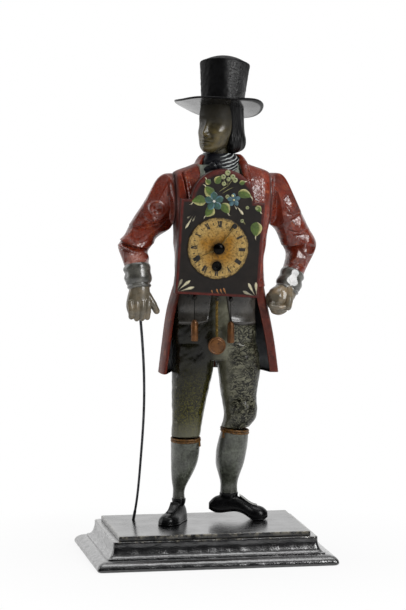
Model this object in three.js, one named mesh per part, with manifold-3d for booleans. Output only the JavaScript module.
// A figural peddler clock: a painted figure on an ebonised base carries a small shield clock on its chest.
// Millimetres, +Z up. The figure faces -Y and the origin lies under the middle of the base.
// Right and left are the figure's own, so its right hand is at -X.
import * as THREE from 'three';
import { mergeVertices } from 'three/addons/utils/BufferGeometryUtils.js';
import Module from 'manifold-3d';

const wasm = await Module();
wasm.setup();

// Fits
const FIT = 0.3; // between pieces that seat on each other
const RUN = 0.35; // around a piece that turns
const SIDES = 12; // facets round a limb
const PIN_SIDES = 6; // facets round a pin, screw or pivot

// Base
const BASE_W = 184;
const BASE_D = 133;
const PLINTH_H = 20.4;
const FOOT_UNDERCUT = 1.2;
const OVOLO_START = 1.5;
const OVOLO_H = 7.6;
const OVOLO_IN = 8.6;
const OVOLO_STEP = 0.9;
const COVE_IN = 5.4;
const COVE_H = 9.9;
const BOARD_T = 3.4;
const BOARD_INSET = 18.8;
const BOARD_EDGE = 0.6;
const BASE_TOP = PLINTH_H + BOARD_T;

// Screws that hold the shoes
const FOOT_SCREW_R = 2;
const FOOT_SCREW_HEAD_R = 4;
const FOOT_SCREW_HEAD_H = 2.2;
const FOOT_SCREW_SINK = 4;
const FOOT_SCREW_BITE = 5;

// Walking stick
const STICK_R = 1.05;
const STICK_SOCKET = 2.4;
const STICK_SOCKET_ROOM = 0.6; // for the stick's slant
const STICK_IN_HAND = 9;

// Legs: heights are above the base board
const TENON_R = 3;
const TENON_L = 6;
const ANKLE_RISE = 6; // of the straight part above the shoe
const RIGHT_ANKLE = { x: -17.4, y: 15, z: 17.2 };
const LEFT_ANKLE = { x: 21.7, y: 15, z: 20.6 };
const RIGHT_KNEE = { x: -13.2, y: 8, z: 62 };
const LEFT_KNEE = { x: 24.6, y: 6, z: 68.5 };
const GARTER_H = 4.4;
const GARTER_PROUD = 0.9;
const WAIST_Z = 182;

// Coat
const CHEST_X = 14;
const CHEST_Y = 9;
const CHEST_HALF = 36.2;
const CHEST_SEAT_Y = -13.7;
const NECK_Z = 273;
const TAIL_T = 2.6;
const TAIL_HEM_Z = 115.5;
const VENT = 1.4;
const COLLAR_X = 14.6;
const COLLAR_T = 2.6;
const COLLAR_H = 8;
const COLLAR_SKIRT = 8;

// Head and hat
const CHIN_Z = NECK_Z + 9;
const HEAD_X = 12.5;
const HEAD_Y = 8;
const HEAD_YAW = -46;
const NECK_R = 8.6;
const NECK_BACK = 2; // neck behind the middle of the head
const NECK_BITE = 5;
const CLOTH_H = 10;
const HAT_YAW = 14; // back from the way that the face looks
const HAT_TILT = 16;
const HAT_LEAN = 2.5;
const HAT_SIDE = 1.1;
const HAT_BACK = 2.7;
const HAT_UP = 34.5;
const BRIM_R = 34;
const BRIM_T = 1.6;
const BRIM_CURL = 4;
const BRIM_ASIDE = 2.2; // the outer edge stands off the crown's middle, sideways and forwards
const BRIM_FORWARD = 1.6;
const CROWN_R = 16;
const CROWN_TOP_R = 19.1;
const CROWN_H = 35.5;
const CROWN_DOME = 6;
const CROWN_EDGE = 0.8;
const CROWN_WALL = 1.3;
const HAT_PLUG_H = 7;

// Clock shield and dial: local places are measured from the middle of the dial
const DIAL_X = 6.4;
const DIAL_Z = 213.2;
const CLOCK_ROLL = 4;
const SHIELD_FRONT = -22;
const SHIELD_D = 8;
const SHIELD_FACE_T = 2;
const SHIELD_WALL = 2;
const SHIELD_W = 64;
const SHIELD_BELOW = 36;
const SHIELD_ABOVE = 35.6;
const SHIELD_SHIFT = 1.8;
const ARCH_R = 24.1;
const SHIELD_PEG_R = 1.8;
const SHIELD_PEG_L = 6;
const SHIELD_PEG_X = 28;
const SHIELD_PEG_Z = 30;
const DIAL_R = 23.5;
const DIAL_T = 0.9;
const DIAL_EDGE = 0.5;
const WIND_DROP = 13.6;

// Hands
const TIME_MINUTES = 5.4;
const TIME_HOURS = 8;
const HAND_T = 0.7;
const HAND_GAP = 0.7;
const DIAL_GAP = 1.2; // from the dial to the hour hand, clear of the winding bush
const HAND_W = 1;
const HAND_HUB_R = 3.3;
const HAND_TIP_R = 1.9;
const MINUTE_REACH = 20.6;
const HOUR_REACH = 17;
const NUT_R = 4.4;
const NUT_H = 2.6;
const NUT_EDGE = 0.6;
const POST_BITE = 1;

// Motion work
const HOUR_PIPE_R = 2;
const CANNON_R = 1.3;
const CENTRE_POST_R = 0.75;
const MOTION_REACH = 9;
const CANNON_TEETH = 8;
const MINUTE_WHEEL_TEETH = 24;
const MINUTE_PINION_TEETH = 6;
const HOUR_WHEEL_TEETH = 24;
const MOTION_T = 1.1;
const MOTION_GAP = 0.8;
const STUD_R = 0.6;

// Movement
const PLATE_T = 1.2;
const PLATE_FRONT = -13.4;
const TRAIN_ROOM = 17;
const PLATE_HALF_W = 25;
const BACK_PLATE_HALF_W = 20;
const BACK_PLATE_INSET = 1;
const PLATE_UP = 26;
const PLATE_DOWN = 28;
const POCKET_HALF_W = 21.3;
const PILLAR_R = 1.9;
const PILLAR_X = 18.2;
const PILLAR_INSET = 2.6;
const SCREW_R = 0.9;
const SCREW_HEAD_R = 1.6;
const SCREW_HEAD_H = 1;
const SCREW_L = 4;
const ARBOR_R = 0.95;
const PIVOT_R = 0.5;
const WHEEL_T = 1;
const GREAT_TEETH = 30;
const CENTRE_PINION_TEETH = 6;
const CENTRE_TEETH = 30;
const THIRD_PINION_TEETH = 6;
const THIRD_TEETH = 30;
const ESCAPE_PINION_TEETH = 6;
const ESCAPE_TEETH = 15;
const CENTRE_MODULE = 0.52;
const THIRD_MODULE = 0.44;
const THIRD_BEARING = 60;
const ESCAPE_BEARING = 150;
const ESCAPE_R = 4.4;
const PALLET_RISE = 6.4;
const BALANCE_R = 6;
const BALANCE_X = -11.5;
const BALANCE_Z = 17;
const BARREL_R = 10;
const BARREL_D = 7;
const BARREL_WALL = 0.9;
const SPRING_T = 0.5;
const SPRING_TURNS = 3;
const WINDING_R = 1.3;
const WINDING_SINK = 0.5;
const BUSH_R = 3.8;
const BUSH_NECK_R = 2.7;
const BUSH_PROUD = 0.8;

// What hangs under the shield
const LUG_DROP = 2.6;
const LUG_W = 2.6;
const LUG_T = 1;
const PIN_R = 0.7;
const PIN_CAP_R = 1.2;
const EYE_R = 1.95;
const STRIP_T = 1;
const PENDULUM_AT = 2.1;
const PENDULUM_Y = -21.2;
const PENDULUM_L = 35.2;
const PENDULUM_W = 3;
const PIERCING_R = 0.75;
const PIERCINGS = 6;
const BOB_R = 6.9;
const BOB_T = 2.8;
const WEIGHT_AT = [-14.2, 13.7];
const WEIGHT_Y = -16.4;
const WEIGHT_R = 2.75;
const WEIGHT_H = 16;
const WEIGHT_DROP = 17.2;
const WEIGHT_EDGE = 0.5;
const WEIGHT_NECK = 2.4;
const WIRE_R = 0.55;

const FAR = 100; // past every edge of what a cut goes through

const rad = THREE.MathUtils.degToRad;
const v3 = (x, y, z) => new THREE.Vector3(x, y, z);

// Solids: closed geometry in and out of the boolean library

function asSolid(shape) {
  if (!shape.isBufferGeometry) return shape;
  const bare = new THREE.BufferGeometry();
  bare.setAttribute('position', shape.getAttribute('position'));
  bare.setIndex(shape.index);
  const merged = mergeVertices(bare, 1e-4);
  const points = merged.getAttribute('position').array;
  const corner = (i) => v3().fromArray(points, 3 * i);
  const faces = [];
  let volume = 0;
  for (let i = 0; i < merged.index.count; i += 3) {
    const [a, b, c] = [0, 1, 2].map((k) => merged.index.getX(i + k));
    if (a === b || b === c || c === a) continue;
    faces.push([a, b, c]);
    volume += corner(a).dot(corner(b).cross(corner(c)));
  }
  const outward = volume > 0 ? faces : faces.map(([a, b, c]) => [a, c, b]);
  return new wasm.Manifold(new wasm.Mesh({
    numProp: 3,
    vertProperties: new Float32Array(points),
    triVerts: new Uint32Array(outward.flat()),
  }));
}

function asGeometry(solid) {
  const { vertProperties, triVerts } = solid.getMesh();
  const geometry = new THREE.BufferGeometry();
  geometry.setAttribute('position', new THREE.BufferAttribute(vertProperties, 3));
  geometry.setIndex(new THREE.BufferAttribute(triVerts, 1));
  return geometry;
}

const join = (first, ...more) => more.reduce((sum, next) => sum.add(asSolid(next)), asSolid(first));
const cut = (first, ...more) => more.reduce((rest, next) => rest.subtract(asSolid(next)), asSolid(first));
const common = (first, second) => asSolid(first).intersect(asSolid(second));
const moved = (shape, matrix) => asGeometry(asSolid(shape)).applyMatrix4(matrix);
const shifted = (shape, x, y, z) => moved(shape, new THREE.Matrix4().makeTranslation(x, y, z));

// A skin over a row of rings with equal counts of points. Ends are filled as fans, or as flat outlines.
function loft(rings, flatEnds = false) {
  const n = rings[0].length;
  const points = rings.flat();
  const faces = [];
  for (let r = 0; r + 1 < rings.length; r += 1) {
    for (let i = 0; i < n; i += 1) {
      const a = r * n + i;
      const b = r * n + ((i + 1) % n);
      faces.push(a, b, b + n, a, b + n, a + n);
    }
  }
  [0, rings.length - 1].forEach((r, end) => {
    const base = r * n;
    const turn = (a, b, c) => (end ? faces.push(a, b, c) : faces.push(a, c, b));
    if (flatEnds) {
      const outline = rings[r].map((p) => new THREE.Vector2(p.x, p.y));
      const clockwise = THREE.ShapeUtils.isClockWise(outline);
      THREE.ShapeUtils.triangulateShape(outline, []).forEach(([a, b, c]) => {
        if (clockwise) turn(base + a, base + c, base + b);
        else turn(base + a, base + b, base + c);
      });
      return;
    }
    const middle = rings[r].reduce((sum, p) => sum.add(p), v3(0, 0, 0)).divideScalar(n);
    const hub = points.push(middle) - 1;
    for (let i = 0; i < n; i += 1) turn(hub, base + i, base + ((i + 1) % n));
  });
  const geometry = new THREE.BufferGeometry().setFromPoints(points);
  geometry.setIndex(faces);
  return geometry;
}

const bulge = (value, power) => Math.sign(value) * Math.abs(value) ** (2 / power);

// A level oval: power 2 is an ellipse and more is boxier; the front half may have its own power.
function oval({ x, y, z, rx, ry, power = 2, front = power, sides = SIDES }) {
  return Array.from({ length: sides }, (_, i) => {
    const turn = (2 * Math.PI * i) / sides;
    const p = Math.sin(turn) < 0 ? front : power;
    return v3(x + rx * bulge(Math.cos(turn), p), y + ry * bulge(Math.sin(turn), p), z);
  });
}

// A smooth row of level ovals through hand-set stations [z, x, y, rx, ry].
function levelSkin(stations, steps, shape = {}) {
  const path = new THREE.CatmullRomCurve3(stations.map(([z, x, y]) => v3(x, y, z)));
  const size = new THREE.CatmullRomCurve3(stations.map(([, , , rx, ry]) => v3(rx, ry, 0)));
  const count = (stations.length - 1) * steps;
  const rings = Array.from({ length: count + 1 }, (_, i) => {
    const at = path.getPoint(i / count);
    const { x: rx, y: ry } = size.getPoint(i / count);
    return oval({ x: at.x, y: at.y, z: at.z, rx, ry, ...shape });
  });
  return loft(rings);
}

// Ovals square to a path through stations [x, y, z, depth, width]; the end planes may be given.
function limb(stations, steps, { start, end, sides = SIDES, ahead = v3(0, 1, 0) } = {}) {
  const path = new THREE.CatmullRomCurve3(stations.map(([x, y, z]) => v3(x, y, z)));
  const size = new THREE.CatmullRomCurve3(stations.map(([, , , depth, width]) => v3(depth, width, 0)));
  const count = (stations.length - 1) * steps;
  const rings = Array.from({ length: count + 1 }, (_, i) => {
    const at = path.getPoint(i / count);
    const along = (i === 0 && start) || (i === count && end) || path.getTangent(i / count);
    const wide = v3().crossVectors(along, ahead).normalize();
    const deep = v3().crossVectors(wide, along).normalize();
    const { x: depth, y: width } = size.getPoint(i / count);
    return Array.from({ length: sides }, (__, k) => {
      const turn = (2 * Math.PI * k) / sides;
      return at.clone()
        .addScaledVector(deep, depth * Math.cos(turn))
        .addScaledVector(wide, width * Math.sin(turn));
    });
  });
  return loft(rings);
}

// A finger: a short round-ended limb from one point to another.
function finger(from, to, r) {
  const spots = [[0, 0.5], [0.15, 1], [0.85, 0.9], [1, 0.4]];
  const stations = spots.map(([share, swell]) => {
    const p = from.clone().lerp(to, share);
    return [p.x, p.y, p.z, r * swell, r * swell];
  });
  return limb(stations, 1, { sides: 5 });
}

// Turned shapes: a profile of [radius, height] pairs round the Y axis, or round the Z axis
const flatPoints = (pairs) => pairs.map((pair) => new THREE.Vector2(...pair));
const turnedY = (profile, sides) => new THREE.LatheGeometry(flatPoints(profile), sides);
const turnedZ = (profile, sides) => turnedY(profile, sides).rotateX(Math.PI / 2);
const rodY = (r, y0, y1, sides = PIN_SIDES) => turnedY([[0, y0], [r, y0], [r, y1], [0, y1]], sides);
const rodZ = (r, z0, z1, sides = 8) => turnedZ([[0, z0], [r, z0], [r, z1], [0, z1]], sides);
const tubeY = (inner, outer, y0, y1, sides = 16) => (
  turnedY([[inner, y0], [outer, y0], [outer, y1], [inner, y1], [inner, y0]], sides)
);

// A flat outline in X and Z, standing from its back face towards the viewer.
function plate(shape, back, thickness) {
  const flat = new THREE.ExtrudeGeometry(shape, { depth: thickness, bevelEnabled: false, curveSegments: 8 });
  return flat.rotateX(Math.PI / 2).translate(0, back, 0);
}

function rectangle(left, bottom, right, top) {
  const corners = [[left, bottom], [right, bottom], [right, top], [left, top]];
  return new THREE.Shape(flatPoints(corners));
}

function block(low, high) {
  const size = high.clone().sub(low);
  const middle = low.clone().add(high).divideScalar(2);
  return new THREE.BoxGeometry(size.x, size.y, size.z).translate(middle.x, middle.y, middle.z);
}

// Finishes
function paint(color, roughness, metalness = 0) {
  return new THREE.MeshStandardMaterial({ color, roughness, metalness });
}

const ebony = paint('#15140f', 0.3);
const blackGloss = paint('#111112', 0.25);
const stockingGrey = paint('#4b4f4a', 0.5);
const gold = paint('#a8701c', 0.4, 0.3);
const breechOlive = paint('#3a3c2c', 0.45);
const coatRed = paint('#7d2a1c', 0.4);
const clothStripe = paint('#24242a', 0.5);
const skin = paint('#4c4638', 0.45);
const cuffGrey = paint('#3c3c38', 0.5);
const hatBlack = paint('#101012', 0.4);
const shieldBrown = paint('#1d120c', 0.4);
const dialIvory = paint('#b98f45', 0.5);
const brass = paint('#b08d3e', 0.35, 0.9);
const steel = paint('#2c2d30', 0.35, 0.8);
const copper = paint('#b06a2c', 0.4, 0.6);

const clock = new THREE.Group();
const figure = new THREE.Group();
figure.position.z = BASE_TOP;
clock.add(figure);

function piece(parent, name, shape, material) {
  const mesh = new THREE.Mesh(asGeometry(asSolid(shape)), material);
  mesh.name = name;
  parent.add(mesh);
}

// Shoes: D-shaped sections along the foot, from stations [along, half width, sole height, upper height]
const RIGHT_FOOT = {
  heel: v3(-13.2, 23.5, 0),
  toe: v3(-32.6, -10, 0),
  ankle: RIGHT_ANKLE,
  collar: [5.4, 6.2],
  screwAlong: 0.55,
  stations: [
    [0, 3, 0, 8], [0.1, 5.4, 0, 13], [0.28, 6.3, 0, 15.4], [0.46, 6.6, 0, 12.4],
    [0.64, 7.6, 0, 9.4], [0.82, 7.6, 0, 8.2], [0.94, 5.4, 0, 6.6], [1, 2.4, 0.4, 4],
  ],
};
const LEFT_FOOT = {
  heel: v3(6.4, 17, 0),
  toe: v3(51, 9, 0),
  ankle: LEFT_ANKLE,
  collar: [7.2, 6.4],
  screwAlong: 0.84,
  stations: [
    [0, 3, 8.4, 13], [0.1, 5.4, 6, 17.4], [0.28, 6.2, 6, 19], [0.46, 6.3, 6.6, 18.4],
    [0.62, 7, 4, 15.2], [0.76, 7.6, 0, 11.6], [0.92, 6.6, 0, 9.4], [1, 3, 2, 6],
  ],
};

const SHOE_ARC = 6;
const SHOE_SOLE = 0.86;

function shoe(foot) {
  const across = v3().crossVectors(v3(0, 0, 1), foot.toe.clone().sub(foot.heel)).normalize();
  const rings = foot.stations.map(([share, half, sole, top]) => {
    const at = foot.heel.clone().lerp(foot.toe, share);
    const lip = Math.min(1.4, (top - sole) / 3);
    const upper = Array.from({ length: SHOE_ARC }, (_, i) => {
      const turn = (Math.PI * i) / (SHOE_ARC - 1);
      const high = sole + lip + (top - sole - lip) * Math.sin(turn) ** 0.85;
      return at.clone().addScaledVector(across, half * Math.cos(turn)).setZ(high);
    });
    const soleEdge = (side) => at.clone().addScaledVector(across, half * side * SHOE_SOLE).setZ(sole);
    return [...upper, soleEdge(-1), soleEdge(1)];
  });
  const { x, y, z } = foot.ankle;
  const [rx, ry] = foot.collar;
  const low = foot.stations[2][2] + 3;
  const collar = levelSkin([[low, x, y, rx, ry], [z - 2, x, y, rx, ry], [z, x, y, rx - 0.6, ry - 0.6]], 1);
  const socket = rodZ(TENON_R + FIT, z - TENON_L - FIT, z + 1).translate(x, y, 0);
  const spot = foot.heel.clone().lerp(foot.toe, foot.screwAlong);
  const thread = rodZ(FOOT_SCREW_R + FIT, -1, FOOT_SCREW_BITE + FIT).translate(spot.x, spot.y, 0);
  return cut(join(loft(rings), collar), socket, thread);
}

// Base: rectangles stacked on a moulding profile of [inset, height]
function moulding(profile) {
  return loft(profile.map(([inset, z]) => {
    const x = BASE_W / 2 - inset;
    const y = BASE_D / 2 - inset;
    return [v3(-x, -y, z), v3(x, -y, z), v3(x, y, z), v3(-x, y, z)];
  }));
}

function quarter(steps) {
  return Array.from({ length: steps + 1 }, (_, i) => (Math.PI / 2) * (i / steps));
}

const ovolo = quarter(5).map((a) => [
  OVOLO_IN * (1 - Math.cos(a)),
  OVOLO_START + (OVOLO_H - OVOLO_START) * Math.sin(a),
]);
const cove = quarter(5).map((a) => [
  OVOLO_IN + COVE_IN * Math.sin(a),
  OVOLO_H + OVOLO_STEP + COVE_H * (1 - Math.cos(a)),
]);
const plinthProfile = [[FOOT_UNDERCUT, 0], ...ovolo, ...cove, [OVOLO_IN + COVE_IN, PLINTH_H]];
const boardProfile = [
  [BOARD_INSET, PLINTH_H],
  [BOARD_INSET, BASE_TOP - BOARD_EDGE],
  [BOARD_INSET + BOARD_EDGE, BASE_TOP],
];

const screwSpots = [RIGHT_FOOT, LEFT_FOOT].map((foot) => foot.heel.clone().lerp(foot.toe, foot.screwAlong));
const screwHoles = screwSpots.map(({ x, y }) => turnedZ([
  [0, -1],
  [FOOT_SCREW_HEAD_R + FIT, -1],
  [FOOT_SCREW_HEAD_R + FIT, FOOT_SCREW_SINK],
  [FOOT_SCREW_R + FIT, FOOT_SCREW_SINK],
  [FOOT_SCREW_R + FIT, BASE_TOP + 1],
  [0, BASE_TOP + 1],
], 10).translate(x, y, 0));

// Walking stick: bowed, from its socket in the board into the right hand
const stickPath = new THREE.CatmullRomCurve3([
  v3(-51.8, 24.5, -STICK_SOCKET + FIT),
  v3(-50, 22.6, 9),
  v3(-46.8, 17.4, 46),
  v3(-45.2, 11.6, 82),
  v3(-46, 4.6, 117),
  v3(-49.6, -3, 157),
  v3(-50.6, -4.2, 157 + STICK_IN_HAND),
]);

function stick(r) {
  const round = new THREE.Shape().absarc(0, 0, r, 0, 2 * Math.PI);
  return new THREE.ExtrudeGeometry(round, { steps: 12, curveSegments: 4, extrudePath: stickPath });
}

const stickSocket = rodZ(STICK_R + STICK_SOCKET_ROOM, BASE_TOP - STICK_SOCKET, BASE_TOP + 1)
  .translate(stickPath.points[0].x, stickPath.points[0].y, 0);
piece(clock, 'base_plinth', cut(moulding(plinthProfile), ...screwHoles), ebony);
piece(clock, 'base_board', cut(moulding(boardProfile), ...screwHoles, stickSocket), ebony);
['right', 'left'].forEach((side, i) => {
  const head = FOOT_SCREW_SINK - FOOT_SCREW_HEAD_H;
  const screw = turnedZ([
    [0, head],
    [FOOT_SCREW_HEAD_R, head],
    [FOOT_SCREW_HEAD_R, FOOT_SCREW_SINK],
    [FOOT_SCREW_R, FOOT_SCREW_SINK],
    [FOOT_SCREW_R, BASE_TOP + FOOT_SCREW_BITE],
    [0, BASE_TOP + FOOT_SCREW_BITE],
  ], 10).translate(screwSpots[i].x, screwSpots[i].y, 0);
  piece(clock, `${side}_foot_screw`, screw, steel);
});
piece(figure, 'right_shoe', shoe(RIGHT_FOOT), blackGloss);
piece(figure, 'left_shoe', shoe(LEFT_FOOT), blackGloss);
piece(figure, 'walking_stick', stick(STICK_R), steel);

// Stockings and garters: the stocking's tenon goes up through the garter into the breeches
function stocking(ankle, knee, calf, ankleSize, kneeSize) {
  const low = ankle.z + FIT;
  const top = knee.z - FIT;
  const leg = levelSkin([
    [low, ankle.x, ankle.y, ...ankleSize],
    [low + ANKLE_RISE, ankle.x, ankle.y, ankleSize[0] - 0.2, ankleSize[1] - 0.3],
    ...calf,
    [top, knee.x, knee.y, ...kneeSize],
  ], 1);
  const peg = rodZ(TENON_R, low - TENON_L, low + 1).translate(ankle.x, ankle.y, 0);
  const tenon = rodZ(TENON_R, top - 1, knee.z + GARTER_H + FIT + TENON_L).translate(knee.x, knee.y, 0);
  return join(leg, peg, tenon);
}

function garter(knee, [rx, ry]) {
  const wide = { x: knee.x, y: knee.y };
  const band = loft([
    oval({ ...wide, z: knee.z, rx, ry }),
    oval({ ...wide, z: knee.z + GARTER_H * 0.25, rx: rx + GARTER_PROUD, ry: ry + GARTER_PROUD }),
    oval({ ...wide, z: knee.z + GARTER_H * 0.75, rx: rx + GARTER_PROUD, ry: ry + GARTER_PROUD }),
    oval({ ...wide, z: knee.z + GARTER_H, rx, ry }),
  ]);
  return cut(band, rodZ(TENON_R + FIT, knee.z - 1, knee.z + GARTER_H + 1).translate(knee.x, knee.y, 0));
}

const rightKneeSize = [11, 11.4];
const leftKneeSize = [10.6, 11.2];
const rightAnkleSize = [4.7, 5.4];
const leftAnkleSize = [6.6, 5.8];
const rightCalf = [[34, -15.6, 14.4, 7.4, 8.6], [49, -13.2, 13, 10.4, 11.6]];
const leftCalf = [[38, 22, 15, 9.2, 9.6], [54, 23.2, 12.4, 11.6, 12.2]];
const rightLeg = stocking(RIGHT_ANKLE, RIGHT_KNEE, rightCalf, rightAnkleSize, rightKneeSize);
const leftLeg = stocking(LEFT_ANKLE, LEFT_KNEE, leftCalf, leftAnkleSize, leftKneeSize);
piece(figure, 'right_stocking', rightLeg, stockingGrey);
piece(figure, 'left_stocking', leftLeg, stockingGrey);
piece(figure, 'right_garter', garter(RIGHT_KNEE, rightKneeSize), gold);
piece(figure, 'left_garter', garter(LEFT_KNEE, leftKneeSize), gold);

// Breeches: two thighs and a pelvis in one piece, with the waistcoat's two skirts standing a little proud
function thigh(knee, kneeSize, stations) {
  const low = knee.z + GARTER_H + FIT;
  const skinShape = levelSkin([[low, knee.x, knee.y, ...kneeSize], ...stations], 1);
  const socket = rodZ(TENON_R + FIT, low - 1, low + TENON_L + FIT).translate(knee.x, knee.y, 0);
  return { skinShape, socket };
}

const rightThigh = thigh(RIGHT_KNEE, rightKneeSize, [
  [76, -12.2, 8, 11.4, 12.4],
  [95, -10.3, 9, 13.2, 14.4],
  [115, -8, 9, 15.4, 16.4],
  [138, -6.4, 9, 16.6, 17],
]);
const leftThigh = thigh(LEFT_KNEE, leftKneeSize, [
  [81, 28.2, 3.6, 12.3, 13],
  [95, 28, 6, 13.3, 14.4],
  [115, 28.4, 8, 16, 16.6],
  [138, 25.4, 9, 16.4, 17],
]);
const pelvisStations = [
  [126, 9.5, 9, 26, 14],
  [138, 8.8, 9, 32, 17.6],
  [154, 8.4, 9, 32.4, 18],
  [170, 9.2, 9, 31.6, 17.4],
  [WAIST_Z - FIT, 10.6, 9, 31, 17.2],
];
const SKIRT_Z = 154;
const SKIRT_PROUD = 1.2;
const SKIRT_X = 9.8;
const SKIRT_GAP = 14;
const SKIRT_REACH = 30;
const PELVIS_SHAPE = { power: 2.4, sides: 18 };
const widened = (stations, by) => stations.map(([z, x, y, rx, ry]) => [z, x, y, rx + by, ry + by]);
const pelvis = levelSkin(pelvisStations, 1, PELVIS_SHAPE);
const proudPelvis = levelSkin(widened(pelvisStations, SKIRT_PROUD), 1, PELVIS_SHAPE);
const skirtFrames = [[-SKIRT_REACH, -SKIRT_GAP / 2], [SKIRT_GAP / 2, SKIRT_REACH]].map(([left, right]) => (
  block(v3(SKIRT_X + left, -FAR, SKIRT_Z), v3(SKIRT_X + right, 0, WAIST_Z))
));
const skirts = skirtFrames.map((frame) => common(proudPelvis, frame));
piece(figure, 'breeches', cut(
  join(rightThigh.skinShape, leftThigh.skinShape, pelvis, ...skirts),
  rightThigh.socket,
  leftThigh.socket,
), breechOlive);

// Clock frame inside the figure
const clockGroup = new THREE.Group();
clockGroup.position.set(DIAL_X, 0, DIAL_Z);
clockGroup.rotation.y = rad(CLOCK_ROLL);
clockGroup.updateMatrix();
figure.add(clockGroup);
const inFigure = (shape) => moved(shape, clockGroup.matrix);

// Coat body: front and back halves meet in a flat plane, and the front half holds the movement
const coatStations = [
  [WAIST_Z, 12.4, CHEST_Y, 34.8, 21],
  [192, 12.4, CHEST_Y, 33.6, 21.6],
  [215, 13, CHEST_Y, 34.6, 23.4],
  [240, CHEST_X, CHEST_Y, 37.4, 24],
  [255, CHEST_X, CHEST_Y, 38, 22],
  [265, CHEST_X, CHEST_Y, 34, 17.6],
  [270, CHEST_X, CHEST_Y, 22, 14.6],
  [NECK_Z, 13, CHEST_Y, 15.4, 13],
];
const COAT_SHAPE = { power: 2.5, front: 4, sides: 18 };
const coatBlank = levelSkin(coatStations, 1, COAT_SHAPE);
const coatTrim = block(
  v3(CHEST_X - CHEST_HALF, CHEST_SEAT_Y, 0),
  v3(CHEST_X + CHEST_HALF, FAR, NECK_Z + FAR),
);
const coat = common(coatBlank, coatTrim);
const frontHalf = block(v3(-FAR, -FAR, 0), v3(FAR, CHEST_Y, NECK_Z + FAR));
const backHalf = block(v3(-FAR, CHEST_Y, 0), v3(FAR, FAR, NECK_Z + FAR));

const plateBack = PLATE_FRONT + PLATE_T;
const backPlateFront = plateBack + TRAIN_ROOM;
const ROOM = 0.8;
const pocketOutline = rectangle(-POCKET_HALF_W, -PLATE_DOWN - ROOM, POCKET_HALF_W, PLATE_UP + ROOM);
const pocket = plate(pocketOutline, FAR, 2 * FAR);
const rebate = plate(
  rectangle(-PLATE_HALF_W - FIT, -PLATE_DOWN - FIT, PLATE_HALF_W + FIT, PLATE_UP + FIT),
  plateBack + FIT,
  FAR,
);
const pegSpots = [[-1, -1], [-1, 1], [1, -1], [1, 1]].map(([across, up]) => (
  [SHIELD_SHIFT + across * SHIELD_PEG_X, up * SHIELD_PEG_Z]
));
const pegEnd = SHIELD_FRONT + SHIELD_D + SHIELD_PEG_L;
const pegHoles = pegSpots.map(([x, z]) => rodY(SHIELD_PEG_R + FIT, -FAR, pegEnd + FIT).translate(x, 0, z));
const earSpots = [-1, 1].map((side) => [side * (PLATE_HALF_W + POCKET_HALF_W) / 2, 4]);
const screwEnd = PLATE_FRONT + SCREW_L;
const earHoles = earSpots.map(([x, z]) => rodY(SCREW_R + FIT, -FAR, screwEnd + FIT).translate(x, 0, z));
const SHOULDER_Z = [249, 246.5];
const ARM_TENON_R = 5;
const ARM_TENON_L = 7;
const armSockets = [-1, 1].map((side, i) => rodZ(ARM_TENON_R + FIT, -ARM_TENON_L - FIT, ARM_TENON_L + FIT)
  .rotateY(Math.PI / 2)
  .translate(CHEST_X + side * CHEST_HALF, CHEST_Y + 1, SHOULDER_Z[i]));
const neckSocket = rodZ(NECK_R + FIT, NECK_Z - NECK_BITE, NECK_Z + FAR, 14)
  .translate(HEAD_X, HEAD_Y + NECK_BACK, 0);
const clockCuts = [pocket, rebate, ...pegHoles, ...earHoles].map(inFigure);
piece(figure, 'coat_front', cut(common(coat, frontHalf), ...clockCuts, ...armSockets, neckSocket), coatRed);
piece(figure, 'coat_back', cut(common(coat, backHalf), ...armSockets, neckSocket), coatRed);

// Coat tails: two curved sheets under the coat's back half, open at the front and at the middle of the back
const tailStations = [
  [WAIST_Z, 12.4, CHEST_Y, 34.8, 21, 62],
  [168, 11.8, CHEST_Y, 38, 24, 66],
  [145, 12.3, CHEST_Y, 42, 27.4, 70],
  [TAIL_HEM_Z, 12.7, CHEST_Y, 45.7, 30, 74],
];
const TAIL_STEPS = 10;

function tail(side) {
  const rings = tailStations.map(([z, x, y, rx, ry, opening]) => {
    const edge = (out) => Array.from({ length: TAIL_STEPS + 1 }, (_, i) => {
      const turn = rad(opening + ((180 - opening) * i) / TAIL_STEPS);
      const across = (rx - out) * bulge(Math.sin(turn), 2.4);
      const deep = -(ry - out) * bulge(Math.cos(turn), 2.4);
      return v3(x + side * Math.max(across, VENT / 2), y + deep, z);
    });
    return [...edge(0), ...edge(TAIL_T).reverse()];
  });
  return loft(rings, true);
}

const tailRoom = levelSkin(widened(pelvisStations, SKIRT_PROUD + FIT), 1, PELVIS_SHAPE);
piece(figure, 'right_coat_tail', cut(tail(-1), tailRoom), coatRed);
piece(figure, 'left_coat_tail', cut(tail(1), tailRoom), coatRed);

// Neckcloth and collar
const clothTop = NECK_Z + FIT + CLOTH_H;
const clothStations = [
  [NECK_Z + FIT, 13.4, 8.4, 15.2, 13],
  [NECK_Z + CLOTH_H * 0.55, 13, 8.6, 14.8, 13],
  [clothTop, HEAD_X, 9, 12.6, 11.8],
];
piece(figure, 'neckcloth', cut(levelSkin(clothStations, 2), neckSocket), clothStripe);

const COLLAR_OPEN = 64;
const COLLAR_STEPS = 9;

function collarRing(z, rx, ry) {
  const edge = (out) => Array.from({ length: COLLAR_STEPS + 1 }, (_, i) => {
    const turn = rad(COLLAR_OPEN + ((360 - 2 * COLLAR_OPEN) * i) / COLLAR_STEPS);
    return v3(COLLAR_X + (rx - out) * Math.sin(turn), CHEST_Y - (ry - out) * Math.cos(turn), z);
  });
  return [...edge(0), ...edge(COLLAR_T).reverse()];
}

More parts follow.
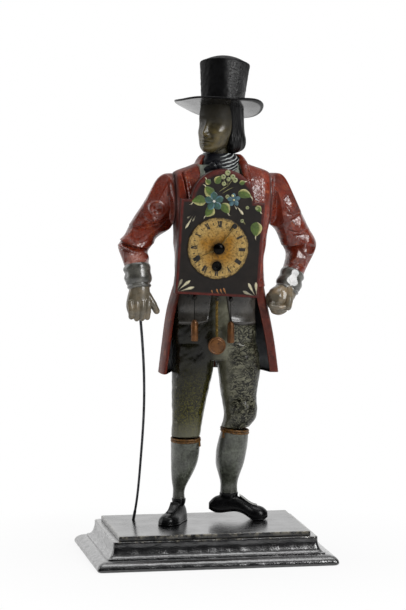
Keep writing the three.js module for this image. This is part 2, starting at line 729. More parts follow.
const collarBlank = loft([
  collarRing(NECK_Z - COLLAR_SKIRT, 24, 20),
  collarRing(NECK_Z - COLLAR_SKIRT * 0.3, 21.4, 18.8),
  collarRing(NECK_Z + COLLAR_H * 0.5, 19.6, 17.6),
  collarRing(NECK_Z + COLLAR_H, 18.8, 16.8),
], true);
const coatRoom = levelSkin(widened(coatStations, FIT), 1, COAT_SHAPE).translate(0, 0, FIT);
const clothRoom = levelSkin(widened(clothStations, FIT), 2);
piece(figure, 'coat_collar', cut(collarBlank, coatRoom, clothRoom), coatRed);

// Arms: a bent sleeve with a tenon in the coat, a turned-back cuff and a hand with a wrist peg.
// Sleeve stations are [outer x, outer z, inner x, inner z, y, half depth].
const ARMS = [
  {
    side: 'right',
    sign: -1,
    end: v3(-51.4, 4, 199),
    wrist: v3(-50.2, -2, 181.5),
    endR: 9.3,
    cuffR: [9.9, 9],
    stations: [
      [-29.9, 267.4, -23.6, 228, 10.5, 14.4], [-38.4, 257.2, -25.7, 225.1, 11.5, 13.6],
      [-46.7, 243.2, -32.1, 220.9, 12.5, 13], [-54.7, 230.3, -36.2, 216.7, 13.5, 12.6],
      [-60.4, 219.7, -38.5, 212.1, 13.5, 12.2], [-64.6, 214, -41.5, 208.4, 12, 11.8],
      [-63.2, 207.2, -41.6, 204.6, 8.5, 10.6],
    ],
  },
  {
    side: 'left',
    sign: 1,
    end: v3(70.3, 8, 191.7),
    wrist: v3(63.7, 2, 176.8),
    endR: 8.4,
    cuffR: [9, 9.2],
    stations: [
      [62.8, 264.6, 55.4, 225.4, 11, 14.4], [69.5, 254.7, 58.7, 221.1, 12.5, 13.4],
      [77, 238.4, 62.2, 213.9, 14.5, 12.8], [83.8, 225, 65, 209.1, 16.5, 12.4],
      [89.6, 212.5, 66.7, 205.6, 17, 12], [87.8, 205, 66.3, 202.6, 15, 11.2],
      [82.9, 196.9, 64.5, 197.9, 12, 9.8],
    ],
  },
];
const ARMHOLE = [14.4, 19];
const WRIST_R = 4;
const WRIST_BITE = 6;

// Ovals across the arm, which tip forwards little by little to stand square to the forearm at the cuff.
function sleeve(arm, seam, shoulderZ) {
  const across = v3(-arm.down.z, 0, arm.down.x).normalize();
  const endDeep = v3().crossVectors(across, arm.down);
  const outer = arm.end.clone().addScaledVector(across, arm.sign * arm.endR);
  const inner = arm.end.clone().addScaledVector(across, -arm.sign * arm.endR);
  const stations = [
    [seam, shoulderZ + ARMHOLE[1], seam, shoulderZ - ARMHOLE[1], CHEST_Y + 1, ARMHOLE[0]],
    ...arm.stations,
    [outer.x, outer.z, inner.x, inner.z, arm.end.y, arm.endR],
  ];
  return loft(stations.map(([outerX, outerZ, innerX, innerZ, y, depth], i) => {
    const from = v3(innerX, y, innerZ);
    const to = v3(outerX, y, outerZ);
    const middle = from.clone().lerp(to, 0.5);
    const half = to.sub(middle);
    const deep = v3(0, 1, 0).lerp(endDeep, (i / (stations.length - 1)) ** 2).setLength(depth);
    return Array.from({ length: SIDES }, (_, k) => {
      const turn = (2 * Math.PI * k) / SIDES;
      return middle.clone().addScaledVector(half, Math.sin(turn)).addScaledVector(deep, Math.cos(turn));
    });
  }));
}

ARMS.forEach((arm, i) => {
  const seam = CHEST_X + arm.sign * (CHEST_HALF + FIT);
  arm.down = arm.wrist.clone().sub(arm.end).normalize();
  const sleeveBody = sleeve(arm, seam, SHOULDER_Z[i]);
  const tenon = rodZ(ARM_TENON_R, -ARM_TENON_L, 1).rotateY(arm.sign * Math.PI / 2)
    .translate(seam, CHEST_Y + 1, SHOULDER_Z[i]);
  arm.turn = new THREE.Matrix4().makeRotationFromQuaternion(
    new THREE.Quaternion().setFromUnitVectors(v3(0, 0, 1), arm.down),
  ).setPosition(arm.wrist);
  const cuffLength = arm.wrist.distanceTo(arm.end) - 2 * FIT;
  const bore = moved(rodZ(WRIST_R + FIT, -cuffLength - WRIST_BITE - 2 * FIT, 1), arm.turn);
  const from = arm.end.clone().addScaledVector(arm.down, FIT);
  const to = arm.wrist.clone().addScaledVector(arm.down, -FIT);
  const middle = from.clone().lerp(to, 0.3);
  const cuff = limb([
    [...from, arm.cuffR[0] - 0.4, arm.cuffR[0]],
    [...middle, arm.cuffR[0] - 0.2, arm.cuffR[0] + 0.2],
    [...to, arm.cuffR[1] - 0.8, arm.cuffR[1]],
  ], 1, { start: arm.down, end: arm.down });
  arm.peg = moved(rodZ(WRIST_R, -cuffLength - WRIST_BITE, 1), arm.turn);
  piece(figure, `${arm.side}_sleeve`, cut(join(sleeveBody, tenon), bore), coatRed);
  piece(figure, `${arm.side}_cuff`, cut(cuff, bore), cuffGrey);
});

// Right hand: back of the hand to the front, four fingers pointing down, thumb apart, stick in the palm
const rightPalm = limb([
  [...ARMS[0].wrist, 5.6, 7.6],
  [-51, -3.2, 174, 5.8, 9],
  [-51.2, -4, 167.5, 5.6, 9.6],
  [-51, -4, 162.6, 4, 8.4],
], 1, { start: ARMS[0].down, end: v3(0, 0, -1), sides: 12 });
const rightFingers = [-58.4, -53.6, -48.8, -44.4].map((x, i) => finger(
  v3(x, -7, 170.5),
  v3(x + (i - 1.5) * -0.5, -6.6, 157.6 + [1.8, 0, 0.2, 1][i]),
  2.75,
));
const rightThumb = finger(v3(-43.6, -3, 176), v3(-36.8, -5, 163), 2.9);
piece(figure, 'right_hand', cut(
  join(rightPalm, ARMS[0].peg, ...rightFingers, rightThumb),
  stick(STICK_R + FIT),
), skin);

// Left hand: a loose fist at the hip
const leftPalm = limb([
  [...ARMS[1].wrist, 6, 7.4],
  [61, -1, 171, 7.6, 9.4],
  [58, -3.6, 167.4, 7.8, 10],
  [55.8, -5.6, 164, 5.6, 7.6],
], 1, { start: ARMS[1].down, sides: 12 });
const leftFingers = [0, 1, 2, 3].map((i) => finger(
  v3(52.4 + 4.2 * i, -10, 170.4 - 1.3 * i),
  v3(54.2 + 3.7 * i, -8, 162 - 0.3 * i),
  2.7,
));
const leftThumb = finger(v3(56, -4, 177), v3(48.6, -7.5, 171.2), 2.9);
piece(figure, 'left_hand', join(leftPalm, ARMS[1].peg, ...leftFingers, leftThumb), skin);

// Head: level ovals from stations [height, y, half width, half depth], with a nose and a bob of hair
const headGroup = new THREE.Group();
headGroup.position.set(HEAD_X, HEAD_Y, CHIN_Z);
headGroup.rotation.z = rad(HEAD_YAW);
figure.add(headGroup);
const hatGroup = new THREE.Group();
hatGroup.position.set(HAT_SIDE, HAT_BACK, HAT_UP);
hatGroup.rotation.set(-rad(HAT_TILT), -rad(HAT_LEAN), rad(HAT_YAW), 'ZXY');
hatGroup.updateMatrix();
headGroup.add(hatGroup);

const FACE = [
  [0, -9, 5.4, 5],
  [2.6, -7, 9.2, 8.4],
  [8, -2.8, 12.2, 12.8],
  [13.6, -0.6, 13.6, 15.4],
  [21, 0.4, 14.3, 15.8],
  [25.5, 0.8, 14.7, 17.4],
  [33, 1, 14.6, 17.4],
  [42, 1.4, 13, 15.6],
];
const NOSE = [[9.5, 0], [13.4, 3.6], [16, 3], [23.5, 0.8], [27, 0]];
const FACE_SIDES = 20;
const FACE_RINGS = 9;

function noseAt(z) {
  const k = NOSE.findIndex(([top], i) => i > 0 && z <= top);
  if (k < 1 || z < NOSE[0][0]) return 0;
  const [[z0, a], [z1, b]] = [NOSE[k - 1], NOSE[k]];
  return THREE.MathUtils.lerp(a, b, (z - z0) / (z1 - z0));
}

function headSkin() {
  const path = new THREE.CatmullRomCurve3(FACE.map(([z, y]) => v3(0, y, z)));
  const size = new THREE.CatmullRomCurve3(FACE.map(([, , rx, ry]) => v3(rx, ry, 0)));
  const front = (3 * FACE_SIDES) / 4;
  return loft(Array.from({ length: FACE_RINGS + 1 }, (_, i) => {
    const at = path.getPoint(i / FACE_RINGS);
    const { x: rx, y: ry } = size.getPoint(i / FACE_RINGS);
    const ring = oval({ x: 0, y: at.y, z: at.z, rx, ry, power: 2.2, sides: FACE_SIDES });
    ring[front].y -= noseAt(at.z);
    ring[front - 1].y -= 0.25 * noseAt(at.z);
    ring[front + 1].y -= 0.25 * noseAt(at.z);
    return ring;
  }));
}

const hairBlank = levelSkin([
  [4.4, 0, 5, 12.6, 10],
  [7.6, 0, 5, 17.4, 15.6],
  [12, 0, 4.6, 16.6, 16.4],
  [20, 0, 4, 16, 16.6],
  [42, 0, 3, 15.6, 17],
], 1);
const HAIRLINE_Y = -3;
const hair = common(hairBlank, block(v3(-FAR, HAIRLINE_Y, 0), v3(FAR, FAR, FAR)));
const underBrim = block(v3(-FAR, -FAR, -FIT), v3(FAR, FAR, FAR)).applyMatrix4(hatGroup.matrix);
const plugR = CROWN_R - CROWN_WALL - FIT;
const hatPlug = rodZ(plugR, -HAT_PLUG_H, HAT_PLUG_H + BRIM_T, 14).applyMatrix4(hatGroup.matrix);
const neckSpot = v3(0, NECK_BACK, 0).applyAxisAngle(v3(0, 0, 1), -rad(HEAD_YAW));
const neckEnd = NECK_Z - NECK_BITE + FIT - CHIN_Z;
const neck = rodZ(NECK_R, neckEnd, NECK_R, 14).translate(neckSpot.x, neckSpot.y, 0);
const chinRoom = rodZ(FAR, -FAR, clothTop + FIT - CHIN_Z, 8);
const headBody = join(cut(join(headSkin(), hair), underBrim, chinRoom), neck, hatPlug);
piece(headGroup, 'head', headBody, skin);

// Hat: a curled brim and a hollow crown that widens upwards
const brimHole = CROWN_R - CROWN_WALL;
const brimBend = (CROWN_R + BRIM_R) / 2;
const brimRound = BRIM_R - BRIM_T / 2;
const brim = turnedZ([
  [brimHole, 0],
  [brimBend, 0],
  [brimRound, 0],
  [BRIM_R, BRIM_T / 2],
  [brimRound, BRIM_T],
  [brimBend, BRIM_T],
  [brimHole, BRIM_T],
  [brimHole, 0],
], 20);
const brimPoints = brim.getAttribute('position');
for (let i = 0; i < brimPoints.count; i += 1) {
  const at = v3().fromBufferAttribute(brimPoints, i);
  const beyond = Math.max(0, Math.abs(at.x) - CROWN_R) / (BRIM_R - CROWN_R);
  const out = (Math.hypot(at.x, at.y) - brimHole) / (BRIM_R - brimHole);
  brimPoints.setXYZ(i, at.x - BRIM_ASIDE * out, at.y - BRIM_FORWARD * out, at.z + BRIM_CURL * beyond ** 2);
}
piece(hatGroup, 'hat_brim', brim, hatBlack);
const crownLow = BRIM_T + FIT;
const crownWaist = [CROWN_R + (CROWN_TOP_R - CROWN_R) * 0.4, CROWN_H * 0.5];
const crownOutside = [
  [CROWN_R, crownLow], crownWaist, [CROWN_TOP_R, CROWN_H - CROWN_EDGE], [CROWN_TOP_R - CROWN_EDGE, CROWN_H],
  ...[0.7, 0.35, 0].map((share) => [CROWN_TOP_R * share, CROWN_H + CROWN_DOME * (1 - share ** 2)]),
];
const crownInside = [
  [0, CROWN_H - CROWN_WALL], [CROWN_TOP_R - CROWN_WALL - CROWN_EDGE, CROWN_H - CROWN_WALL],
  [crownWaist[0] - CROWN_WALL, crownWaist[1]], [brimHole, crownLow],
];
const crown = turnedZ([...crownOutside, ...crownInside, crownOutside[0]], 18);
piece(hatGroup, 'hat_crown', crown, hatBlack);

// Shield: a shallow tray with an arched head, pegged to the coat, with lugs for what hangs under it
function shieldOutline(inset) {
  const half = SHIELD_W / 2 - inset;
  const shape = new THREE.Shape();
  shape.moveTo(SHIELD_SHIFT - half, inset - SHIELD_BELOW);
  shape.lineTo(SHIELD_SHIFT + half, inset - SHIELD_BELOW);
  shape.lineTo(SHIELD_SHIFT + half, SHIELD_ABOVE - inset);
  shape.absarc(SHIELD_SHIFT, SHIELD_ABOVE - inset, ARCH_R - inset, 0, Math.PI);
  shape.lineTo(SHIELD_SHIFT - half, SHIELD_ABOVE - inset);
  return shape;
}

const shieldBack = SHIELD_FRONT + SHIELD_D;
const shieldFloor = SHIELD_FRONT + SHIELD_FACE_T;
const lugZ = -SHIELD_BELOW - LUG_DROP;

function lug(x, y) {
  const back = y + STRIP_T / 2 + RUN;
  const front = y - STRIP_T / 2 - RUN;
  const tabTop = SHIELD_WALL / 2 - SHIELD_BELOW;
  const tabOutline = rectangle(x - LUG_W / 2, lugZ - LUG_W / 2, x + LUG_W / 2, tabTop);
  const tab = plate(tabOutline, back + LUG_T, LUG_T);
  const pin = rodY(PIN_R, front - LUG_T / 2, back + LUG_T / 2).translate(x, 0, lugZ);
  const cap = rodY(PIN_CAP_R, front - LUG_T, front).translate(x, 0, lugZ);
  return join(tab, pin, cap);
}

const pegs = pegSpots.map(([x, z]) => rodY(SHIELD_PEG_R, shieldFloor - 1, pegEnd).translate(x, 0, z));
const shieldTray = cut(
  plate(shieldOutline(0), shieldBack, SHIELD_D),
  plate(shieldOutline(SHIELD_WALL), shieldBack + 1, SHIELD_D - SHIELD_FACE_T + 1),
);
const shield = cut(
  join(shieldTray, ...pegs, lug(PENDULUM_AT, PENDULUM_Y), ...WEIGHT_AT.map((x) => lug(x, WEIGHT_Y))),
  rodY(HOUR_PIPE_R + RUN, -FAR, FAR, 12),
  rodY(BUSH_NECK_R + FIT, -FAR, FAR, 12).translate(0, 0, -WIND_DROP),
);
piece(clockGroup, 'clock_shield', shield, shieldBrown);

const dialFront = SHIELD_FRONT - DIAL_T;
const dialDisc = turnedY([
  [0, dialFront],
  [DIAL_R - DIAL_EDGE, dialFront],
  [DIAL_R, dialFront + DIAL_EDGE],
  [DIAL_R, SHIELD_FRONT],
  [0, SHIELD_FRONT],
], 28);
const dial = cut(
  dialDisc,
  rodY(HOUR_PIPE_R + RUN, -FAR, FAR, 12),
  rodY(BUSH_NECK_R + FIT, -FAR, FAR, 12).translate(0, 0, -WIND_DROP),
);
piece(clockGroup, 'dial', dial, dialIvory);

// Hands: a hub, a thin shaft and a round tip; angles run clockwise from twelve
const hourBack = dialFront - DIAL_GAP;
const minuteBack = hourBack - HAND_T - HAND_GAP;
const nutBack = minuteBack - HAND_T - FIT;

function hand(back, reach, bore, turns) {
  const hub = tubeY(bore, HAND_HUB_R, back - HAND_T, back, 12);
  const shaft = plate(rectangle(-HAND_W / 2, HAND_HUB_R - 0.5, HAND_W / 2, reach), back, HAND_T);
  const tip = rodY(HAND_TIP_R, back - HAND_T, back, 10).translate(0, 0, reach);
  return asGeometry(join(hub, shaft, tip)).rotateY(2 * Math.PI * turns);
}

const minuteTurns = TIME_MINUTES / 60;
const hourTurns = (TIME_HOURS + minuteTurns) / 12;
piece(clockGroup, 'hour_hand', hand(hourBack, HOUR_REACH, HOUR_PIPE_R + FIT, hourTurns), brass);
piece(clockGroup, 'minute_hand', hand(minuteBack, MINUTE_REACH, CANNON_R + FIT, minuteTurns), brass);
const nutDome = turnedY([
  [0, nutBack - NUT_H],
  [NUT_R * 0.4, nutBack - NUT_H * 0.9],
  [NUT_R * 0.75, nutBack - NUT_H * 0.6],
  [NUT_R, nutBack - NUT_EDGE],
  [NUT_R, nutBack],
  [0, nutBack],
], 12);
const nut = cut(nutDome, rodY(CENTRE_POST_R + FIT, nutBack - POST_BITE - FIT, FAR));
piece(clockGroup, 'hand_nut', nut, steel);

// Gears: pointed clock teeth with backlash; a tooth stands at the phase angle
const ROOT_SHARE = 0.62;
const ADDENDUM = 0.85;
const DEDENDUM = 1.1;

function gearOutline(teeth, module, phase) {
  const pitch = Math.PI / teeth;
  const r = (module * teeth) / 2;
  const corners = [[-ROOT_SHARE, -DEDENDUM], [0, ADDENDUM], [ROOT_SHARE, -DEDENDUM]];
  const points = Array.from({ length: teeth }, (_, i) => corners.map(([share, out]) => {
    const turn = phase + pitch * (2 * i + share);
    const reach = r + out * module;
    return new THREE.Vector2(reach * Math.cos(turn), reach * Math.sin(turn));
  })).flat();
  return new THREE.Shape(points);
}

function gear(teeth, module, phase, back, thickness) {
  return plate(gearOutline(teeth, module, phase), back, thickness);
}

// The phase that puts a gap of the second gear on a tooth of the first, across a line of centres
function meshed(teeth, phase, bearing, otherTeeth) {
  const place = ((bearing - phase) * teeth) / (2 * Math.PI);
  return bearing + Math.PI - ((0.5 - place) * 2 * Math.PI) / otherTeeth;
}

// Arbor with pivots that run in both plates
function arbor(r) {
  const front = PLATE_FRONT;
  const back = backPlateFront + PLATE_T;
  return turnedY([
    [0, front], [PIVOT_R, front], [PIVOT_R, plateBack + FIT], [r, plateBack + FIT],
    [r, backPlateFront - FIT], [PIVOT_R, backPlateFront - FIT], [PIVOT_R, back], [0, back],
  ], PIN_SIDES);
}

// Motion work between the front plate and the shield
const motionSum = (CANNON_TEETH + MINUTE_WHEEL_TEETH) / 2;
const motionModule = MOTION_REACH / motionSum;
const hourModule = MOTION_REACH / ((MINUTE_PINION_TEETH + HOUR_WHEEL_TEETH) / 2);
const motionBearing = 0;
const cannonBack = PLATE_FRONT - FIT;
const hourWheelBack = cannonBack - MOTION_T - MOTION_GAP;
const cannonPhase = motionBearing;
const minuteWheelPhase = meshed(CANNON_TEETH, cannonPhase, motionBearing, MINUTE_WHEEL_TEETH);
const minutePinionPhase = 0;
const towardsCentre = motionBearing + Math.PI;
const hourWheelPhase = meshed(MINUTE_PINION_TEETH, minutePinionPhase, towardsCentre, HOUR_WHEEL_TEETH);
const cannon = cut(
  join(
    gear(CANNON_TEETH, motionModule, cannonPhase, cannonBack, MOTION_T),
    rodY(CANNON_R, minuteBack - HAND_T, cannonBack - MOTION_T / 2, 10),
  ),
  rodY(CENTRE_POST_R + FIT, -FAR, FAR),
);
piece(clockGroup, 'cannon_pinion', cannon, brass);
const minuteWheel = cut(
  join(
    gear(MINUTE_WHEEL_TEETH, motionModule, minuteWheelPhase, cannonBack, MOTION_T),
    rodY(hourModule * MINUTE_PINION_TEETH * 0.36, hourWheelBack - MOTION_T, cannonBack - MOTION_T / 2, 8),
    gear(MINUTE_PINION_TEETH, hourModule, minutePinionPhase, hourWheelBack, MOTION_T),
  ),
  rodY(STUD_R + RUN, -FAR, FAR),
);
piece(clockGroup, 'minute_wheel', shifted(minuteWheel, MOTION_REACH, 0, 0), brass);
const hourWheel = cut(
  join(
    gear(HOUR_WHEEL_TEETH, hourModule, hourWheelPhase, hourWheelBack, MOTION_T),
    rodY(HOUR_PIPE_R, hourBack - HAND_T, hourWheelBack - MOTION_T / 2, 12),
  ),
  rodY(CANNON_R + RUN, -FAR, FAR, 10),
);
piece(clockGroup, 'hour_wheel', hourWheel, brass);

// Going train: places in the plane of the plates
const polar = (r, degrees) => [r * Math.cos(rad(degrees)), r * Math.sin(rad(degrees))];
const thirdReach = (CENTRE_MODULE * (CENTRE_TEETH + THIRD_PINION_TEETH)) / 2;
const escapeReach = (THIRD_MODULE * (THIRD_TEETH + ESCAPE_PINION_TEETH)) / 2;
const [thirdX, thirdZ] = polar(thirdReach, THIRD_BEARING);
const [escapeDX, escapeDZ] = polar(escapeReach, ESCAPE_BEARING);
const escapeX = thirdX + escapeDX;
const escapeZ = thirdZ + escapeDZ;
const greatModule = (2 * WIND_DROP) / (GREAT_TEETH + CENTRE_PINION_TEETH);
const centreWheelBack = plateBack + 2.2;
const thirdWheelBack = centreWheelBack + 4;
const escapeWheelBack = thirdWheelBack + 4;
const greatBack = backPlateFront - 1.2;
const PINION_SPARE = 0.6;

function pinion(teeth, module, phase, wheelBack) {
  return gear(teeth, module, phase, wheelBack + PINION_SPARE, WHEEL_T + 2 * PINION_SPARE);
}

const centrePinionPhase = rad(-90);
const greatPhase = meshed(CENTRE_PINION_TEETH, centrePinionPhase, rad(-90), GREAT_TEETH);
const thirdPinionPhase = meshed(CENTRE_TEETH, 0, rad(THIRD_BEARING), THIRD_PINION_TEETH);
const escapePinionPhase = meshed(THIRD_TEETH, 0, rad(ESCAPE_BEARING), ESCAPE_PINION_TEETH);
const centrePost = rodY(CENTRE_POST_R, nutBack - POST_BITE, plateBack + 1);
const centreArbor = turnedY([
  [0, plateBack + FIT],
  [ARBOR_R, plateBack + FIT],
  [ARBOR_R, backPlateFront - FIT],
  [PIVOT_R, backPlateFront - FIT],
  [PIVOT_R, backPlateFront + PLATE_T],
  [0, backPlateFront + PLATE_T],
], PIN_SIDES);
const centreWheel = join(
  centreArbor,
  centrePost,
  gear(CENTRE_TEETH, CENTRE_MODULE, 0, centreWheelBack, WHEEL_T),
  pinion(CENTRE_PINION_TEETH, greatModule, centrePinionPhase, greatBack),
);
piece(clockGroup, 'centre_wheel', centreWheel, brass);
const thirdWheel = join(
  arbor(ARBOR_R * 0.8),
  gear(THIRD_TEETH, THIRD_MODULE, 0, thirdWheelBack, WHEEL_T),
  pinion(THIRD_PINION_TEETH, CENTRE_MODULE, thirdPinionPhase, centreWheelBack),
);
piece(clockGroup, 'third_wheel', shifted(thirdWheel, thirdX, 0, thirdZ), brass);

// Escape wheel with pointed, leaning teeth
function escapeOutline() {
  const pitch = (2 * Math.PI) / ESCAPE_TEETH;
  const toothCorners = [[0, 1], [0.22, 0.74], [0.8, 0.74]];
  const points = Array.from({ length: ESCAPE_TEETH }, (_, i) => toothCorners.map(([share, r]) => {
    const turn = pitch * (i + share);
    return new THREE.Vector2(ESCAPE_R * r * Math.cos(turn), ESCAPE_R * r * Math.sin(turn));
  })).flat();
  return new THREE.Shape(points);
}

const escapeWheel = join(
  arbor(ARBOR_R * 0.66),
  plate(escapeOutline(), escapeWheelBack, WHEEL_T),
  pinion(ESCAPE_PINION_TEETH, THIRD_MODULE, escapePinionPhase, thirdWheelBack),
);
piece(clockGroup, 'escape_wheel', shifted(escapeWheel, escapeX, 0, escapeZ), brass);

// Pallet lever: two arms over the escape wheel, drawn clear of its teeth, and a tail towards the balance
const PALLET_CLEAR = 0.45;
const palletZ = escapeZ + PALLET_RISE;
const palletDrop = PALLET_RISE - ESCAPE_R - PALLET_CLEAR;
const palletShape = new THREE.Shape(flatPoints([
  [-3, -palletDrop], [-2.2, -palletDrop], [-1, -0.9], [1, -0.9], [2.2, -palletDrop], [3, -palletDrop],
  [1.6, 1], [-1.6, 1],
]));
const palletLever = join(arbor(ARBOR_R * 0.6), plate(palletShape, escapeWheelBack, WHEEL_T));
piece(clockGroup, 'pallet_lever', shifted(palletLever, escapeX, 0, palletZ), steel);

// Balance wheel: a rim on three spokes
const BALANCE_RIM = 1;
const balanceBack = escapeWheelBack + 3.4;
const BALANCE_SPOKE = 1.2;
const spokeOutline = rectangle(-BALANCE_SPOKE / 2, 0, BALANCE_SPOKE / 2, BALANCE_R - BALANCE_RIM / 2);
const balanceSpokes = [0, 120, 240].map((turn) => (
  plate(spokeOutline, balanceBack, WHEEL_T).rotateY(rad(turn))
));
const balance = join(
  arbor(ARBOR_R * 0.6),
  tubeY(BALANCE_R - BALANCE_RIM, BALANCE_R, balanceBack - WHEEL_T, balanceBack, 14),
  ...balanceSpokes,
);
piece(clockGroup, 'balance_wheel', shifted(balance, BALANCE_X, 0, BALANCE_Z), brass);

// Barrel: a cup on the great wheel, with the mainspring inside and the winding arbor through the middle
const barrelFront = greatBack - WHEEL_T - BARREL_D;
const barrel = cut(
  join(
    gear(GREAT_TEETH, greatModule, greatPhase, greatBack, WHEEL_T),
    rodY(BARREL_R, barrelFront, greatBack - WHEEL_T / 2, 16),
  ),
  rodY(BARREL_R - BARREL_WALL, barrelFront + BARREL_WALL, greatBack - WHEEL_T, 16),
  rodY(BARREL_R * 0.6, barrelFront - 1, barrelFront + 2 * BARREL_WALL, 12),
  rodY(WINDING_R + RUN, -FAR, FAR, 8),
);
piece(clockGroup, 'barrel', shifted(barrel, 0, 0, -WIND_DROP), brass);

const springIn = WINDING_R + RUN + SPRING_T;
const springOut = BARREL_R - BARREL_WALL - FIT - SPRING_T / 2;
const SPRING_STEPS = 9;
function springSide(offset) {
  const count = SPRING_TURNS * SPRING_STEPS;
  return Array.from({ length: count + 1 }, (_, i) => {
    const turn = (2 * Math.PI * i) / SPRING_STEPS;
    const r = THREE.MathUtils.lerp(springIn, springOut, i / count) + offset;
    return new THREE.Vector2(r * Math.cos(turn), r * Math.sin(turn));
  });
}
const springShape = new THREE.Shape([...springSide(SPRING_T / 2), ...springSide(-SPRING_T / 2).reverse()]);
const springLength = BARREL_D - BARREL_WALL - 2 * FIT;
const mainspring = plate(springShape, greatBack - WHEEL_T - FIT, springLength);
piece(clockGroup, 'mainspring', mainspring.translate(0, 0, -WIND_DROP), steel);

const windingFront = dialFront - BUSH_PROUD + WINDING_SINK;
const winding = turnedY([
  [0, windingFront],
  [WINDING_R, windingFront],
  [WINDING_R, backPlateFront - FIT],
  [PIVOT_R, backPlateFront - FIT],
  [PIVOT_R, backPlateFront + PLATE_T],
  [0, backPlateFront + PLATE_T],
], 8).translate(0, 0, -WIND_DROP);
piece(clockGroup, 'winding_arbor', winding, steel);
const bushBore = WINDING_R + RUN;
const bushFront = dialFront - BUSH_PROUD;
const bush = turnedY([
  [bushBore, bushFront],
  [BUSH_R - BUSH_PROUD / 2, bushFront],
  [BUSH_R, bushFront + BUSH_PROUD / 2],
  [BUSH_R, dialFront - FIT / 3],
  [BUSH_NECK_R, dialFront - FIT / 3],
  [BUSH_NECK_R, shieldFloor],
  [bushBore, shieldFloor],
  [bushBore, bushFront],
], 12).translate(0, 0, -WIND_DROP);
piece(clockGroup, 'winding_bush', bush, steel);

// Plates, pillars and screws
const pivotSpots = [[thirdX, thirdZ], [escapeX, escapeZ], [escapeX, palletZ], [BALANCE_X, BALANCE_Z]];
const pivotHoles = pivotSpots.map(([x, z]) => rodY(PIVOT_R + RUN, -FAR, FAR).translate(x, 0, z));
const pillarRows = [PLATE_UP - PILLAR_INSET, PILLAR_INSET - PLATE_DOWN];
const pillarSpots = [-PILLAR_X, PILLAR_X].flatMap((x) => pillarRows.map((z) => [x, z]));
const pillarHoles = pillarSpots.map(([x, z]) => rodY(SCREW_R + FIT, -FAR, screwEnd + FIT).translate(x, 0, z));
const earScrewHoles = earSpots.map(([x, z]) => rodY(SCREW_R + FIT, -FAR, FAR).translate(x, 0, z));
const stud = rodY(STUD_R, hourWheelBack - MOTION_T, plateBack - PLATE_T / 2).translate(MOTION_REACH, 0, 0);
const frontPlate = cut(
  join(plate(rectangle(-PLATE_HALF_W, -PLATE_DOWN, PLATE_HALF_W, PLATE_UP), plateBack, PLATE_T), stud),
  ...pivotHoles,
  ...pillarHoles,
  ...earScrewHoles,
  rodY(CENTRE_POST_R + RUN, -FAR, FAR),
  rodY(WINDING_R + RUN, -FAR, FAR).translate(0, 0, -WIND_DROP),
);
piece(clockGroup, 'movement_front_plate', frontPlate, brass);
const pillarEnd = backPlateFront + PLATE_T / 2;
const pillars = pillarSpots.map(([x, z]) => rodY(PILLAR_R, plateBack, pillarEnd, 8).translate(x, 0, z));
const backOutline = rectangle(
  -BACK_PLATE_HALF_W,
  BACK_PLATE_INSET - PLATE_DOWN,
  BACK_PLATE_HALF_W,
  PLATE_UP - BACK_PLATE_INSET,
);
const backPlate = cut(
  join(plate(backOutline, backPlateFront + PLATE_T, PLATE_T), ...pillars),
  ...pivotHoles,
  ...pillarHoles,
  rodY(PIVOT_R + RUN, -FAR, FAR),
  rodY(PIVOT_R + RUN, -FAR, FAR).translate(0, 0, -WIND_DROP),
);
piece(clockGroup, 'movement_back_plate', backPlate, brass);
const plateScrew = turnedY([
  [0, PLATE_FRONT - SCREW_HEAD_H],
  [SCREW_HEAD_R, PLATE_FRONT - SCREW_HEAD_H],
  [SCREW_HEAD_R, PLATE_FRONT],
  [SCREW_R, PLATE_FRONT],
  [SCREW_R, screwEnd],
  [0, screwEnd],
], PIN_SIDES);
Object.entries({ plate_screw: pillarSpots, movement_screw: earSpots }).forEach(([name, spots]) => {
  spots.forEach(([x, z], i) => {
    piece(clockGroup, `${name}_${i + 1}`, plateScrew.clone().translate(x, 0, z), steel);
  });
});

// Pendulum and weights hang plumb from the lugs
function hungFrom(x, y) {
  const group = new THREE.Group();
  group.position.copy(v3(x, 0, lugZ).applyMatrix4(clockGroup.matrix)).setY(y);
  figure.add(group);
  return group;
}

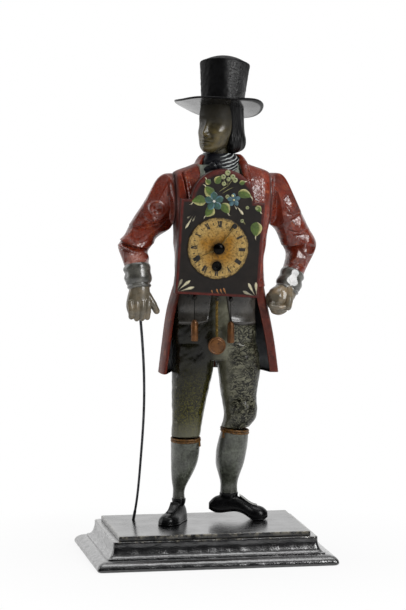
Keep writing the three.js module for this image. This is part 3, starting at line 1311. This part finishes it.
const eye = () => tubeY(PIN_R + RUN, EYE_R, -STRIP_T / 2, STRIP_T / 2, 8);
const stripEnd = -PENDULUM_L - BOB_R * 0.6;
const stripTop = -(PIN_R + RUN + EYE_R) / 2;
const strip = plate(rectangle(-PENDULUM_W / 2, stripEnd, PENDULUM_W / 2, stripTop), STRIP_T / 2, STRIP_T);
const piercingStep = (PENDULUM_L - BOB_R - EYE_R) / (PIERCINGS + 1);
const piercings = Array.from({ length: PIERCINGS }, (_, i) => (
  rodY(PIERCING_R, -STRIP_T, STRIP_T, 6).translate(0, 0, -EYE_R - piercingStep * (i + 1))
));
const pendulumGroup = hungFrom(PENDULUM_AT, PENDULUM_Y);
piece(pendulumGroup, 'pendulum_strip', cut(join(eye(), strip), ...piercings), copper);
const bobSlot = plate(
  rectangle(-PENDULUM_W / 2 - FIT, stripEnd - FIT, PENDULUM_W / 2 + FIT, 0),
  STRIP_T / 2 + FIT,
  STRIP_T + 2 * FIT,
);
const bobDisc = turnedY([
  [0, -BOB_T / 2], [BOB_R * 0.6, -BOB_T * 0.46], [BOB_R, -BOB_T * 0.24], [BOB_R, BOB_T * 0.24],
  [BOB_R * 0.6, BOB_T * 0.46], [0, BOB_T / 2],
], 18).translate(0, 0, -PENDULUM_L);
piece(pendulumGroup, 'pendulum_bob', cut(bobDisc, bobSlot), copper);

['right', 'left'].forEach((side, i) => {
  const group = hungFrom(WEIGHT_AT[i], WEIGHT_Y);
  const bottom = -WEIGHT_DROP - WEIGHT_H;
  const body = turnedZ([
    [0, bottom],
    [WEIGHT_R - WEIGHT_EDGE, bottom],
    [WEIGHT_R, bottom + WEIGHT_EDGE],
    [WEIGHT_R, -WEIGHT_DROP - WEIGHT_NECK],
    [WEIGHT_R * 0.45, -WEIGHT_DROP],
    [0, -WEIGHT_DROP],
  ], 12);
  const wireTop = -(PIN_R + RUN + EYE_R) / 2;
  const wire = rodZ(WIRE_R, -WEIGHT_DROP - WEIGHT_EDGE, wireTop, PIN_SIDES);
  piece(group, `${side}_weight`, join(body, wire, eye()), copper);
});

export default clock;
